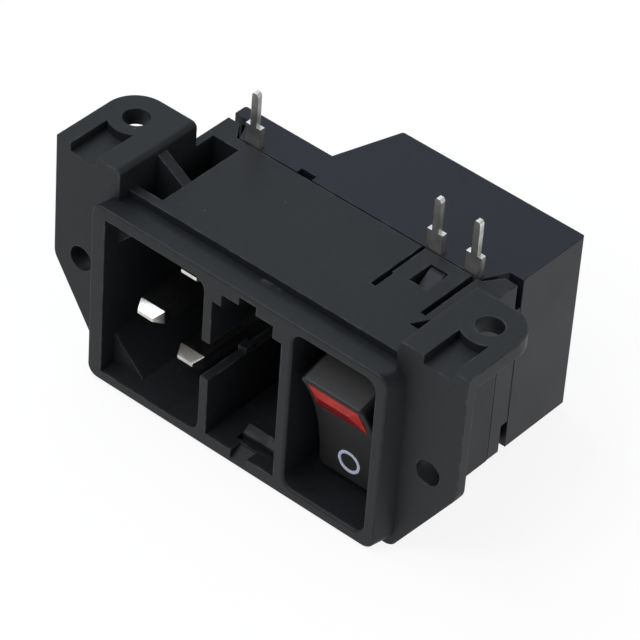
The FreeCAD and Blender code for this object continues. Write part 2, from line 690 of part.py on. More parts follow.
def make_switch_feed(pole, sign):
    """Strip from the front cap of a fuse to the saddle under its see-saw contact."""
    body = new_body(f"{pole}_switch_feed")
    inner, outer = "feed_offset", "(feed_offset + strip_thick)"
    crest = f"({bay_right} - leaf_reach)"
    low, high = leaf_band(sign)
    saddle_low, saddle_high = "pivot_rise - saddle_half", "pivot_rise + saddle_half"
    pole_x = f"(well_centre + {sign}*pole_pitch/2)"
    end = {"line": f"({saddle_front} + strip_thick)", "neutral": "(crossover_depth + strip_thick)"}[pole]
    add(body, "leaf", "plan", low, "leaf_width",
        [(inner, end), (inner, "front_leaf + leaf_run"), (crest, "front_leaf"),
         (f"{inner} - strip_thick", "front_leaf - leaf_run"), (inner, "front_leaf - leaf_run"),
         (f"{crest} + strip_thick*3/2", "front_leaf"), (outer, "front_leaf + leaf_run - strip_thick/2"),
         (outer, end)])
    if pole == "line":
        add(body, "saddle", "front", saddle_front, "strip_thick",
            rect(inner, f"{pole_x} + seesaw_width/2", saddle_low, high))
        return body
    bridge_left, bridge_right = "well_centre - strip_thick/2", "well_centre + strip_thick/2"
    saddle_end, saddle_back = f"{pole_x} + seesaw_width/2", f"{saddle_front} + strip_thick"
    add(body, "crossover", "front", "crossover_depth", "strip_thick",
        rect(inner, bridge_right, low, saddle_high))
    add(body, "saddle", "plan", saddle_low, "2*saddle_half",
        [(bridge_left, end), (bridge_left, saddle_front), (saddle_end, saddle_front),
         (saddle_end, saddle_back), (bridge_right, saddle_back), (bridge_right, end)])
    return body


def make_seesaw(pole, sign):
    body = new_body(f"{pole}_seesaw_contact", "seesaw", sign)
    lean = "seesaw_arm*tan(seesaw_vee)"
    back, front = f"seesaw_thick/2 - {lean}", f"-seesaw_thick/2 - {lean}"
    add(body, "vee", "side", "-seesaw_width/2", "seesaw_width",
        [("seesaw_thick/2", "0"), (back, "seesaw_arm"), (front, "seesaw_arm"),
         ("-seesaw_thick/2", "0"), (front, "-seesaw_arm"), (back, "-seesaw_arm")])
    return body


def make_moving_tip(pole, sign):
    tip = doc.addObject("Part::Cylinder", f"{pole}_moving_tip")
    tip.setExpression("Radius", bound("tip_radius"))
    tip.setExpression("Height", bound("tip_thick"))
    settle(tip, f"{pole}_moving_tip", "seesaw", sign)
    back = "(seesaw_thick/2 - contact_arm*tan(seesaw_vee))"
    y = f"seesaw_depth + {back}*cos(seesaw_tilt) - contact_arm*sin(seesaw_tilt) - flange_setback"
    z = f"pivot_rise - {back}*sin(seesaw_tilt) - contact_arm*cos(seesaw_tilt) - screw_rise"
    tip.setExpression("Placement.Base.y", bound(y))
    tip.setExpression("Placement.Base.z", bound(z))
    tip.setExpression("Placement.Rotation.Angle", bound("-90 - seesaw_vee - seesaw_tilt"))


def make_rocker():
    body = new_body("rocker", "rocker")
    half, end, face = "rocker_width/2", "rocker_length/2", "-rocker_reach"
    skirt = "rocker_skirt - rocker_reach"
    add(body, "block", "side", f"-{half}", "rocker_width",
        [(face, end), (skirt, end), ("cheek_back", "cheek_half"), ("cheek_back", "-cheek_half"),
         (skirt, f"-({end})"), (face, f"-({end})")])
    fillet(body, "rocker_corners", "rocker_corner", lambda edge: runs_along(edge, "y")
           and near(abs(middle(edge).z), size.rocker_length / 2))
    cut(body, "dish", "side", f"-{half}", "rocker_width",
        (f"rocker_dish - rocker_reach - {dish_radius}", "0", dish_radius))
    rim = -size.rocker_reach
    fillet(body, "rocker_edges", "rocker_edge", lambda edge: near(edge.BoundBox.YMin, rim)
           and edge.BoundBox.YMax < rim + size.rocker_skirt / 2)
    roof = "(rocker_dish + rocker_roof - rocker_reach)"
    inside = f"({half} - rocker_wall)"
    cut(body, "hollow", "side", f"-{inside}", f"2*{inside}",
        rect(roof, "2*cheek_back", f"rocker_wall - {end}", f"{end} - rocker_wall"))
    add(body, "guide", "side", f"-{inside}", f"2*{inside}",
        rect("-guide_front", "guide_back", "-guide_half", "guide_half"))
    bores = [(f"{sign}*pole_pitch/2", "0", "plunger_size/2 + running_fit") for sign in poles.values()]
    cut(body, "plunger_bores", "front", "-bore_bottom", "bore_bottom + guide_back", *bores)
    for side, start in (("left", f"-{half} - trunnion_length"), ("right", half)):
        add(body, f"{side}_trunnion", "side", start, "trunnion_length", ("0", "0", "trunnion/2"))
    cut(body, "lens_window", "front", face, f"{roof} + rocker_reach",
        rect("-lens_width/2", "lens_width/2", "lens_low", "lens_high"))
    return body


def make_lens():
    body = new_body("rocker_lens", "rocker")
    roof = "(rocker_dish + rocker_roof - rocker_reach)"
    low, high = "(lens_low + lens_fit)", "(lens_high - lens_fit)"

    def dish(z):
        return f"(rocker_dish - rocker_reach - {dish_radius} + sqrt({dish_radius}*{dish_radius} - {z}*{z}))"

    add(body, "prism", "side", "lens_fit - lens_width/2", "lens_width - 2*lens_fit",
        [(roof, low), (dish(low), low), (f"{dish('lens_ridge')} - lens_proud", "lens_ridge"),
         (dish(high), high), (roof, high)])
    return body


def make_lamp():
    body = new_body("indicator_lamp", "rocker")
    depth = "(rocker_dish + rocker_roof - rocker_reach + lamp_gap + lamp_size/2)"
    add(body, "bulb", "side", "-lamp_length/2", "lamp_length", (depth, "lamp_height", "lamp_size/2"))
    add(body, "bulb_tip", "side", "lamp_length/2", "lamp_tip_length", (depth, "lamp_height", "lamp_tip/2"))
    return body


def make_resistor():
    body = new_body("lamp_resistor", "rocker")
    depth = "(rocker_dish + rocker_roof - rocker_reach + lamp_gap + resistor_size/2 + resistor_cap)"
    place = (depth, "-resistor_drop")
    add(body, "rod", "side", "-resistor_length/2", "resistor_length", (*place, "resistor_size/2"))
    for side, start in (("left", "-resistor_length/2"), ("right", "resistor_length/4")):
        add(body, f"{side}_cap", "side", start, "resistor_length/4",
            (*place, "resistor_size/2 + resistor_cap"))
    return body


def make_plunger(pole, sign):
    body = new_body(f"{pole}_plunger", "rocker")
    add(body, "stem", "front", "plunger_tail", "plunger_tip - plunger_tail",
        (f"{sign}*pole_pitch/2", "0", "plunger_size/2"))
    soften(body, "Chamfer", "nose", "plunger_bevel", lambda edge: near(edge.BoundBox.YMin, size.plunger_tip))
    return body


def make_spring(pole, sign):
    """Coil between the bottom of its bore and the plunger."""
    start, room = "(-bore_bottom + spring_wire)", "(bore_bottom + plunger_tail - 2*spring_wire)"
    x = f"{sign}*pole_pitch/2"
    helix = doc.addObject("Part::Helix", f"{pole}_spring_path")
    helix.setExpression("Radius", bound("spring_radius"))
    helix.setExpression("Height", bound(room))
    helix.setExpression("Pitch", bound(f"{room}/spring_turns"))
    wire = doc.addObject("Part::RegularPolygon", f"{pole}_spring_wire")
    wire.setExpression("Polygon", bound("spring_sides"))
    wire.setExpression("Circumradius", bound("spring_wire/2"))
    for item, shift in ((helix, "0"), (wire, "spring_radius")):
        turn = Rotation(Vector(1, 0, 0), -90) if item is helix else Rotation()
        item.Placement = Placement(Vector(), turn)
        item.setExpression("Placement.Base.x", bound(f"{x} + {shift}"))
        item.setExpression("Placement.Base.y", bound(start))
    coil = doc.addObject("Part::Sweep", f"{pole}_plunger_spring")
    coil.Sections = [wire]
    coil.Spine = (helix, [])
    coil.Solid = True
    coil.Frenet = True
    settle(coil, f"{pole}_plunger_spring", "rocker")


def check():
    doc.recompute()
    for item in doc.Objects:
        if {"Invalid", "Error"} & set(item.State):
            raise RuntimeError(f"{item.Name} failed: {item.State}")
        if item.TypeId == "PartDesign::Pocket" and item.Shape.Volume >= item.BaseFeature.Shape.Volume:
            raise RuntimeError(f"{item.Name} cuts nothing")
    for item in parts:
        if item.Shape.isNull() or not item.Shape.isValid() or len(item.Shape.Solids) != 1:
            raise RuntimeError(f"{item.Label} is not one sound solid")


def main():
    make_housing()
    make_cover()
    make_pin("line_pin", live_x, "(pin_pitch/2)", "live_tip")
    make_pin("neutral_pin", live_x, "(-pin_pitch/2)", "live_tip")
    make_pin("earth_pin", earth_x, "0", "earth_tip")
    make_earth_terminal()
    make_rocker()
    make_lens()
    make_lamp()
    make_resistor()
    for pole, sign in poles.items():
        make_output_terminal(pole, sign)
        make_fixed_tip(pole, sign)
        make_inlet_contact(pole, sign)
        make_switch_feed(pole, sign)
        make_seesaw(pole, sign)
        make_moving_tip(pole, sign)
        make_plunger(pole, sign)
        make_spring(pole, sign)
    check()
    os.makedirs("parts", exist_ok=True)
    for item in parts:
        item.Shape.exportStep(f"parts/{item.Label}.step")
        print(item.Label, round(item.Shape.Volume, 1), item.Shape.BoundBox)


main()
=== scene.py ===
import json
import math

import bmesh
import bpy
from mathutils import Euler, Matrix, Vector


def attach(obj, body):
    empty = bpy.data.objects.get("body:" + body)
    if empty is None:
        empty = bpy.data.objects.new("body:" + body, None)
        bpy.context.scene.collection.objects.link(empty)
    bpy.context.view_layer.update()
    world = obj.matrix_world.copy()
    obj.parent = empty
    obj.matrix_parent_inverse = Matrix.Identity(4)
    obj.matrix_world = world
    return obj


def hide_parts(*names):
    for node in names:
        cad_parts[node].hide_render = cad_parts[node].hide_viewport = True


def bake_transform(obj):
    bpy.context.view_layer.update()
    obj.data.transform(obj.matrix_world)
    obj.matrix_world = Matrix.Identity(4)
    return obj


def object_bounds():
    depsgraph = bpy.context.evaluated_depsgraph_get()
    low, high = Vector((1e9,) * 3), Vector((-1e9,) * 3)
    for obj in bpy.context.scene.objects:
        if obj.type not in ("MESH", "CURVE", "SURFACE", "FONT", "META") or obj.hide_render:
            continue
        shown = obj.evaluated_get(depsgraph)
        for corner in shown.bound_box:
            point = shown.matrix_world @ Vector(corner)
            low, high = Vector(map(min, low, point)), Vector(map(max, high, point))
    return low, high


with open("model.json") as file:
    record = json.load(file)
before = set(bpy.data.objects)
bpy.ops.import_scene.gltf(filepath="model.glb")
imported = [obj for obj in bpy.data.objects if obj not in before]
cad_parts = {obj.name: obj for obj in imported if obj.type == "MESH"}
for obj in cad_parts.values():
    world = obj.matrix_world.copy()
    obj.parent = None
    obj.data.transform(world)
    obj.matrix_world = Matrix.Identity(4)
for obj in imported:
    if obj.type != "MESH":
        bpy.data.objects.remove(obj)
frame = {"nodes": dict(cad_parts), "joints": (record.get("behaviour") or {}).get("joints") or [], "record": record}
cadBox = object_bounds()
mm = 0.001
print("frame loaded:", len(frame["nodes"]), "nodes")


class Wire:
    # a shader value: written in an expression, it adds the Math nodes

    def __init__(self, tree, socket=None):
        self.tree = tree
        self.socket = socket

    def feed(self, inputs, values):
        for key, value in values.items():
            if isinstance(value, Wire):
                self.tree.links.new(value.socket, inputs[key])
            else:
                inputs[key].default_value = value

    def node(self, kind, settings=None, values=None, out=0):
        made = self.tree.nodes.new(kind)
        for name, value in (settings or {}).items():
            setattr(made, name, value)
        self.feed(made.inputs, values or {})
        return Wire(self.tree, made.outputs[out])

    def maths(self, operation, first, second):
        return self.node("ShaderNodeMath", {"operation": operation}, {0: first, 1: second})

    def __add__(self, other):
        return self.maths("ADD", self, other)

    def __sub__(self, other):
        return self.maths("SUBTRACT", self, other)

    def __rsub__(self, other):
        return self.maths("SUBTRACT", other, self)

    def __mul__(self, other):
        return self.maths("MULTIPLY", self, other)

    __radd__ = __add__
    __rmul__ = __mul__

    def between(self, low, high):
        # 0 at low, 1 at high, held at both ends
        values = {"Value": self, "From Min": low, "From Max": high}
        return self.node("ShaderNodeMapRange", {"interpolation_type": "SMOOTHSTEP"}, values)

    def blend(self, first, second):
        # colour from first to second by this value
        return self.node("ShaderNodeMix", {"data_type": "RGBA"}, {0: self, 6: first, 7: second}, 2)


def newMaterial(name):
    material = bpy.data.materials.new(name)
    material.use_nodes = True
    shader = material.node_tree.nodes["Principled BSDF"]
    return material, Wire(material.node_tree), shader


def opaque(colour):
    return (*colour, 1.0)


def grey(level):
    return opaque((level, level, level))


def surfaceSpot(tree):
    return tree.node("ShaderNodeTexCoord", out="Object")


noiseForm = {"detail": 3.0, "rough": 0.55, "middle": 0.5}


def noise(tree, spot, size, detail=noiseForm["detail"]):
    values = {"Vector": spot, "Scale": 1 / size, "Detail": detail, "Roughness": noiseForm["rough"]}
    return tree.node("ShaderNodeTexNoise", None, values)


edgeMask = {"samples": 6, "reach": 1.5, "open": 0.92, "closed": 0.55}


def outwardEdge(tree, radius):
    # 1 along outward edges: rays sent into the solid soon meet its other faces
    settings = {"inside": True, "samples": edgeMask["samples"]}
    depth = tree.node("ShaderNodeAmbientOcclusion", settings, {"Distance": radius * edgeMask["reach"]}, "AO")
    return depth.between(edgeMask["open"], edgeMask["closed"])


def edgeBend(tree, radius):
    # rounded normal along outward edges, the flat one everywhere else
    curved = tree.node("ShaderNodeBevel", {"samples": edgeMask["samples"]}, {"Radius": radius})
    flat = tree.node("ShaderNodeNewGeometry", out="Normal")
    normals = {0: outwardEdge(tree, radius), 4: flat, 5: curved}
    return tree.node("ShaderNodeMix", {"data_type": "VECTOR"}, normals, 1)


speckForm = {"rim": 0.16, "core": 0.08, "fade": 0.8}


def specks(tree, spot, size, share):
    # small round spots in a share of the cells
    cells = {"Vector": spot, "Scale": 1 / size}
    distance = tree.node("ShaderNodeTexVoronoi", None, cells, "Distance")
    tint = tree.node("ShaderNodeTexVoronoi", None, cells, "Color")
    pick = tree.node("ShaderNodeSeparateColor", None, {0: tint})
    chosen = pick.between(1 - share, 1 - share * speckForm["fade"])
    return distance.between(speckForm["rim"], speckForm["core"]) * chosen


def paintedLitEnd(tree, spot, look):
    # painted light: 1 on the rocker's upper end, past the height along the given direction, which is painted
    # lighter as if lit from above
    values = {0: spot, 1: look["litEndAlong"]}
    along = tree.node("ShaderNodeVectorMath", {"operation": "DOT_PRODUCT"}, values, "Value")
    return along.between(look["litEndFrom"], look["litEndFrom"] + look["litEndFade"]) * look["litEnd"]


def grainBump(tree, height, depth, normal):
    values = {"Height": height, "Distance": depth, "Strength": 1.0, "Normal": normal}
    return tree.node("ShaderNodeBump", None, values)


def mouldedPlastic(name, look):
    material, tree, shader = newMaterial(name)
    spot = surfaceSpot(tree)
    cloud = noise(tree, spot, look["cloudSize"])
    mottle = noise(tree, spot, look["mottleSize"], look["mottleDetail"])
    grain = noise(tree, spot, look["grainSize"], look["grainDetail"])
    soft = edgeBend(tree, look["edgeRound"])
    patch = noise(tree, spot, look["wearPatch"], look["wearDetail"]).between(*look["wearBand"])
    wear = outwardEdge(tree, look["edgeRound"]) * patch * look["wear"]
    facing = tree.node("ShaderNodeNewGeometry", out="Normal")
    upward = tree.node("ShaderNodeSeparateXYZ", None, {0: facing}, "Z").between(*look["upBand"])
    dust = specks(tree, spot, look["dustSize"], look["dustShare"]) * upward * look["dust"]
    cloudTone = cloud.between(*look["toneBand"]) * look["cloudShare"]
    tone = cloudTone + mottle.between(*look["toneBand"]) * look["mottleShare"]
    colour = tone.blend(opaque(look["dark"]), opaque(look["light"]))
    # painted light: the rocker's upper end is blended towards the pale tone
    if "litEnd" in look:
        colour = paintedLitEnd(tree, spot, look).blend(colour, opaque(look["wearAndLitTone"]))
    colour = wear.blend(colour, opaque(look["wearAndLitTone"]))
    colour = dust.blend(colour, opaque(look["dustColour"]))
    rough = look["rough"] + (cloud - noiseForm["middle"]) * look["roughSpread"] + dust * look["dustRough"]
    normal = grainBump(tree, grain, look["grainDepth"], soft)
    tree.feed(shader.inputs, {"Base Color": colour, "Roughness": rough, "Normal": normal,
                              "Specular IOR Level": look["gloss"]})
    return material


def platedMetal(name, look):
    material, tree, shader = newMaterial(name)
    spot = surfaceSpot(tree)
    stretched = tree.node("ShaderNodeMapping", None, {"Vector": spot, "Scale": look["drawn"]})
    streak = noise(tree, stretched, look["streakSize"])
    cloud = noise(tree, spot, look["cloudSize"])
    soft = edgeBend(tree, look["edgeRound"])
    colour = cloud.between(*look["toneBand"]).blend(opaque(look["dark"]), opaque(look["light"]))
    polish = outwardEdge(tree, look["edgeRound"]) * look["edgePolish"]
    rough = look["rough"] + (streak - noiseForm["middle"]) * look["roughSpread"] - polish
    normal = grainBump(tree, streak, look["streakDepth"], soft)
    tree.feed(shader.inputs, {"Base Color": colour, "Roughness": rough, "Normal": normal, "Metallic": 1.0})
    return material


def tintedLens(name, look):
    material, tree, shader = newMaterial(name)
    spot = surfaceSpot(tree)
    cloud = noise(tree, spot, look["cloudSize"])
    soft = edgeBend(tree, look["edgeRound"])
    colour = cloud.between(*look["toneBand"]).blend(opaque(look["deep"]), opaque(look["bright"]))
    # painted shade: faces marked in the shade attribute take the darker red
    shaded = tree.node("ShaderNodeAttribute", {"attribute_name": "shade"}, out="Fac")
    colour = shaded.blend(colour, opaque(look["shaded"]))
    rough = look["rough"] + cloud * look["roughSpread"]
    tree.feed(shader.inputs, {"Base Color": colour, "Roughness": rough, "Normal": soft,
                              "Transmission Weight": look["clear"], "IOR": look["bending"],
                              "Specular IOR Level": look["gloss"]})
    return material


housingLook = {
    "dark": (0.0090, 0.0102, 0.0122), "light": (0.0130, 0.0147, 0.0175), "toneBand": (0.3, 0.7),
    "cloudSize": 9 * mm, "cloudShare": 0.55, "mottleSize": 0.9 * mm, "mottleShare": 0.45, "mottleDetail": 4.0,
    "grainSize": 0.22 * mm, "grainDepth": 0.012 * mm, "grainDetail": 2.0, "edgeRound": 0.22 * mm,
    # pale tone of worn edges; on the rocker it also paints light on the upper end
    "wearAndLitTone": (0.075, 0.076, 0.078), "wear": 0.55,
    "wearPatch": 2.2 * mm, "wearDetail": 5.0, "wearBand": (0.42, 0.66),
    "dust": 0.40, "dustSize": 1.0 * mm, "dustShare": 0.03, "dustColour": (0.14, 0.14, 0.14), "dustRough": 0.2,
    "upBand": (0.5, 0.9), "rough": 0.52, "roughSpread": 0.14, "gloss": 0.24,
}
coverLook = dict(housingLook, dark=(0.0060, 0.0072, 0.0125), light=(0.0085, 0.0100, 0.0170), wear=0.30,
                 dustShare=0.015, rough=0.44)
satinLook = dict(housingLook, dark=(0.0100, 0.0101, 0.0107), light=(0.0145, 0.0147, 0.0155), wear=0.40,
                 dust=0.0, rough=0.50, gloss=0.20, grainDepth=0.006 * mm)
rockerForm = {"tilt": math.radians(16.4), "reach": 10.0 * mm, "length": 17.9 * mm, "dish": 1.3 * mm}
# painted light on the rocker's upper end, which takes the pale tone of worn edges
rockerLook = dict(satinLook, litEnd=0.62, litEndFrom=6.28 * mm, litEndFade=0.1 * mm,
                  litEndAlong=(0.0, -math.sin(rockerForm["tilt"]), math.cos(rockerForm["tilt"])))
plungerLook = dict(satinLook, dark=(0.62, 0.60, 0.55), light=(0.72, 0.70, 0.65), wear=0.0)
resistorLook = dict(satinLook, dark=(0.40, 0.30, 0.17), light=(0.48, 0.37, 0.22), wear=0.0, rough=0.30)
inkLook = dict(satinLook, dark=(0.40, 0.45, 0.57), light=(0.50, 0.55, 0.68), wear=0.0)
pinLook = {
    "dark": (0.60, 0.585, 0.55), "light": (0.76, 0.745, 0.71), "toneBand": (0.35, 0.7), "cloudSize": 1.6 * mm,
    "drawn": (1.0, 0.08, 1.0), "streakSize": 0.18 * mm, "streakDepth": 0.002 * mm,
    "edgeRound": 0.10 * mm, "edgePolish": 0.06, "rough": 0.22, "roughSpread": 0.12,
}
terminalLook = dict(pinLook, dark=(0.62, 0.61, 0.59), light=(0.78, 0.77, 0.75), drawn=(1.0, 1.0, 0.08),
                    rough=0.40)
brassLook = dict(pinLook, dark=(0.62, 0.43, 0.18), light=(0.74, 0.55, 0.27), rough=0.28)
silverLook = dict(pinLook, dark=(0.70, 0.70, 0.69), light=(0.82, 0.82, 0.81), drawn=(1.0, 1.0, 1.0),
                  rough=0.34)
springLook = dict(pinLook, dark=(0.38, 0.38, 0.39), light=(0.50, 0.50, 0.51), drawn=(1.0, 1.0, 1.0),
                  rough=0.26)
lensLook = {
    "deep": (0.36, 0.007, 0.006), "bright": (0.50, 0.022, 0.012), "shaded": (0.20, 0.001, 0.002),
    "toneBand": (0.3, 0.7), "cloudSize": 1.6 * mm, "edgeRound": 0.10 * mm, "rough": 0.34, "roughSpread": 0.08,
    "clear": 0.15, "bending": 1.49, "gloss": 0.09,
}
lampLook = dict(lensLook, deep=(0.80, 0.72, 0.62), bright=(0.92, 0.86, 0.78), shaded=(0.80, 0.72, 0.62),
                cloudSize=3 * mm, rough=0.05, clear=0.85, gloss=0.50)

finishes = {
    "housing_black": mouldedPlastic("housingBlack", housingLook),
    "cover_black": mouldedPlastic("coverBlack", coverLook),
    "rocker_black": mouldedPlastic("rockerBlack", rockerLook),
    "lens_red": tintedLens("lensRed", lensLook),
    "pin_nickel": platedMetal("pinNickel", pinLook),
    "terminal_tin": platedMetal("terminalTin", terminalLook),
    "contact_brass": platedMetal("contactBrass", brassLook),
    "contact_silver": platedMetal("contactSilver", silverLook),
    "spring_steel": platedMetal("springSteel", springLook),
    "plunger_white": mouldedPlastic("plungerWhite", plungerLook),
    "lamp_glass": tintedLens("lampGlass", lampLook),
    "resistor_body": mouldedPlastic("resistorBody", resistorLook),
}
markInk = mouldedPlastic("markInk", inkLook)


def dressNodes():
    for part in frame["record"]["subparts"]:
        piece = frame["nodes"][part["node"]]
        piece.data.materials.clear()
        piece.data.materials.append(finishes[part["material_slot"]])


def extruded(work, faces):
    grown = bmesh.ops.extrude_face_region(work, geom=faces)
    return [item for item in grown["geom"] if isinstance(item, bmesh.types.BMVert)]


def flatRing(work, radius, width, segments):
    bmesh.ops.create_circle(work, cap_ends=True, segments=segments, radius=radius)
    ring = bmesh.ops.inset_region(work, faces=work.faces[:], thickness=width, use_boundary=True,
                                   use_even_offset=True)
    inside = [face for face in work.faces if face not in ring["faces"]]
    bmesh.ops.delete(work, geom=inside, context="FACES")


def softenEdges(work, edges, width):
    bmesh.ops.bevel(work, geom=edges, offset=width, affect="EDGES", segments=2, profile=0.5, material=-1)


def finishPiece(work, name, material):
    mesh = bpy.data.meshes.new(name)
    bmesh.ops.recalc_face_normals(work, faces=work.faces)
    work.to_mesh(mesh)
    work.free()
    mesh.materials.append(material)
    piece = bpy.data.objects.new(name, mesh)
    bpy.context.scene.collection.objects.link(piece)
    return piece


def jointPlace(name):
    joint = next(item for item in frame["joints"] if item["name"] == name)
    return Vector(joint["pos_m"])


def rockerFrame():
    # pivot and rest tilt: local Y runs inwards, local Z along the rocker
    return Matrix.Translation(jointPlace("rocker_tilt")) @ Matrix.Rotation(rockerForm["tilt"], 4, "X")


def dishDepth(z):
    halfLength = rockerForm["length"] / 2
    radius = (halfLength ** 2 + rockerForm["dish"] ** 2) / (2 * rockerForm["dish"])
    return rockerForm["dish"] - rockerForm["reach"] - radius + math.sqrt(radius ** 2 - z ** 2)


offMark = {"size": 3.5 * mm, "stroke": 0.43 * mm, "drop": 5.7 * mm, "proud": 0.10 * mm, "thick": 0.25 * mm,
           "segments": 56}


def makeOffMark():
    work = bmesh.new()
    flatRing(work, offMark["size"] / 2, offMark["stroke"], offMark["segments"])
    bmesh.ops.rotate(work, matrix=Matrix.Rotation(math.pi / 2, 3, "X"), verts=work.verts)
    bmesh.ops.translate(work, vec=(0, 0, -offMark["drop"]), verts=work.verts)
    front = extruded(work, work.faces[:])
    bmesh.ops.translate(work, vec=(0, -offMark["thick"], 0), verts=front)
    for vert in work.verts:  # lay the ring in the dished face
        vert.co.y += dishDepth(vert.co.z) - offMark["proud"] + offMark["thick"]
    bmesh.ops.transform(work, matrix=rockerFrame(), verts=work.verts)
    mark = finishPiece(work, "offMark", markInk)
    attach(mark, "rocker")
    print("off mark laid on the rocker")


lensForm = {"width": 7.9 * mm, "low": 2.55 * mm, "high": 7.95 * mm, "back": 7.6 * mm, "ridge": 5.9 * mm,
            "ridgeLeft": -2.9 * mm, "ridgeRight": 2.1 * mm, "proud": 0.42 * mm, "edge": 0.07 * mm,
            "merge": 0.01 * mm, "crease": 0.1, "shadeBelow": -0.21}


def makeLens():
    # hipped roof over the window in the rocker's upper end
    work = bmesh.new()
    bmesh.ops.create_cube(work, size=1.0)
    tall = lensForm["high"] - lensForm["low"]
    bmesh.ops.scale(work, vec=(lensForm["width"], 1.0, tall), verts=work.verts)
    bmesh.ops.translate(work, vec=(0, 0, lensForm["low"] + tall / 2), verts=work.verts)
    for vert in work.verts:  # front corners lie in the dished face
        vert.co.y = dishDepth(vert.co.z) if vert.co.y < 0 else -lensForm["back"]
    front = min(work.faces, key=lambda face: face.calc_center_median().y)
    crest = extruded(work, [front])
    bmesh.ops.delete(work, geom=[front], context="FACES_ONLY")
    top = dishDepth(lensForm["ridge"]) - lensForm["proud"]
    for vert in crest:
        side = lensForm["ridgeLeft"] if vert.co.x < 0 else lensForm["ridgeRight"]
        vert.co = (side, top, lensForm["ridge"])
    bmesh.ops.remove_doubles(work, verts=work.verts, dist=lensForm["merge"])
    sharp = [edge for edge in work.edges if edge.calc_face_angle(0.0) > lensForm["crease"]]
    softenEdges(work, sharp, lensForm["edge"])
    bmesh.ops.recalc_face_normals(work, faces=work.faces)
    shade = work.loops.layers.float_color.new("shade")
    for face in work.faces:  # painted shade: the facet that looks down takes the darker colour, as less light comes back from it
        for corner in face.loops:
            corner[shade] = grey(1.0 if face.normal.z < lensForm["shadeBelow"] else 0.0)
    bmesh.ops.transform(work, matrix=rockerFrame(), verts=work.verts)
    lens = finishPiece(work, "rockerLens", finishes["lens_red"])
    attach(lens, "rocker")
    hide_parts("rocker_lens")
    print("lens set in the rocker")


springForm = {"coil": 0.7 * mm, "wire": 0.3 * mm, "low": -4.44 * mm, "high": 0.44 * mm, "pitch": 5.2 * mm,
              "openTurns": 4, "sides": 10, "steps": 24}


def makeSpring(pole, side):
    # drawn wire with one closed turn at each end
    work = bmesh.new()
    bmesh.ops.create_circle(work, segments=springForm["sides"], radius=springForm["wire"] / 2)
    bmesh.ops.translate(work, vec=(springForm["coil"], springForm["low"], 0), verts=work.verts)
    openRise = springForm["high"] - springForm["low"] - 2 * springForm["wire"]
    coils = ((1, springForm["wire"]), (springForm["openTurns"], openRise), (1, springForm["wire"]))
    ring = work.verts[:] + work.edges[:]
    for turns, rise in coils:
        steps = turns * springForm["steps"]
        spun = bmesh.ops.spin(work, geom=ring, cent=(0, 0, 0), axis=(0, 1, 0), dvec=(0, rise / steps, 0),
                              angle=turns * 2 * math.pi, steps=steps)
        ring = spun["geom_last"]
    for face in work.faces:
        face.smooth = True
    bmesh.ops.holes_fill(work, edges=[edge for edge in work.edges if edge.is_boundary], sides=0)
    place = rockerFrame() @ Matrix.Translation((side * springForm["pitch"] / 2, 0, 0))
    bmesh.ops.transform(work, matrix=place, verts=work.verts)
    spring = finishPiece(work, pole + "PlungerSpring", finishes["spring_steel"])
    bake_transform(spring)
    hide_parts(pole + "_plunger_spring")
    print("spring wound behind the", pole, "plunger")


latchSlot = {"end": 4.2 * mm, "left": -5.5 * mm, "right": -4.2 * mm, "low": -3.75 * mm, "high": 2.15 * mm,
             "deeper": 8.0 * mm, "near": 0.01 * mm, "merge": 0.001 * mm, "normalDigits": 1}


def inSlotEnd(place):
    near = latchSlot["near"]
    return (abs(place.y - latchSlot["end"]) < near
            and latchSlot["left"] - near < place.x < latchSlot["right"] + near
            and latchSlot["low"] - near < place.z < latchSlot["high"] + near)


def cornerKey(mesh, face, corner):
    # the same corner of the same face, in any mesh cut from the solid
    place = mesh.vertices[mesh.loops[corner].vertex_index].co
    cell = tuple(round(value / latchSlot["near"]) for value in place)
    return cell, tuple(round(value, latchSlot["normalDigits"]) for value in face.normal)


def makeHousing():
    # the moulding with its latch slot cut deeper, shaded as the solid is
    source = frame["nodes"]["inlet_housing"].data
    shading = {cornerKey(source, face, corner): source.corner_normals[corner].vector.copy()
               for face in source.polygons for corner in face.loop_indices}
    work = bmesh.new()
    work.from_mesh(source)
    bmesh.ops.remove_doubles(work, verts=work.verts, dist=latchSlot["merge"])
    end = [vert for vert in work.verts if inSlotEnd(vert.co)]
    bmesh.ops.translate(work, vec=(0, latchSlot["deeper"], 0), verts=end)
    housing = finishPiece(work, "inletHousing", finishes["housing_black"])
    mesh = housing.data
    mesh.shade_smooth()
    mesh.normals_split_custom_set([shading.get(cornerKey(mesh, face, corner), face.normal)
                                   for face in mesh.polygons for corner in face.loop_indices])
    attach(housing, "housing")
    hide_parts("inlet_housing")
    print("latch slot cut deeper at", len(end), "corners")


latchStub = {"high": 0.8 * mm, "long": 1.6 * mm, "edge": 0.06 * mm}


def makeLatchStub():
    # low stop left standing on the slot's floor
    work = bmesh.new()
    bmesh.ops.create_cube(work, size=1.0)
    size = Vector((latchSlot["right"] - latchSlot["left"], latchStub["long"], latchStub["high"]))
    bmesh.ops.scale(work, vec=size, verts=work.verts)
    middle = Vector((latchSlot["left"], latchSlot["end"], latchSlot["low"])) + size / 2
    bmesh.ops.translate(work, vec=middle, verts=work.verts)
    softenEdges(work, work.edges[:], latchStub["edge"])
    stub = finishPiece(work, "latchStub", finishes["housing_black"])
    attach(stub, "housing")
    print("latch stub set in the slot")


catchRamp = {"left": -1.03 * mm, "right": 7.05 * mm, "front": 0.66 * mm, "back": 1.95 * mm,
             "foot": -12.53 * mm, "top": -11.62 * mm, "edge": 0.06 * mm}


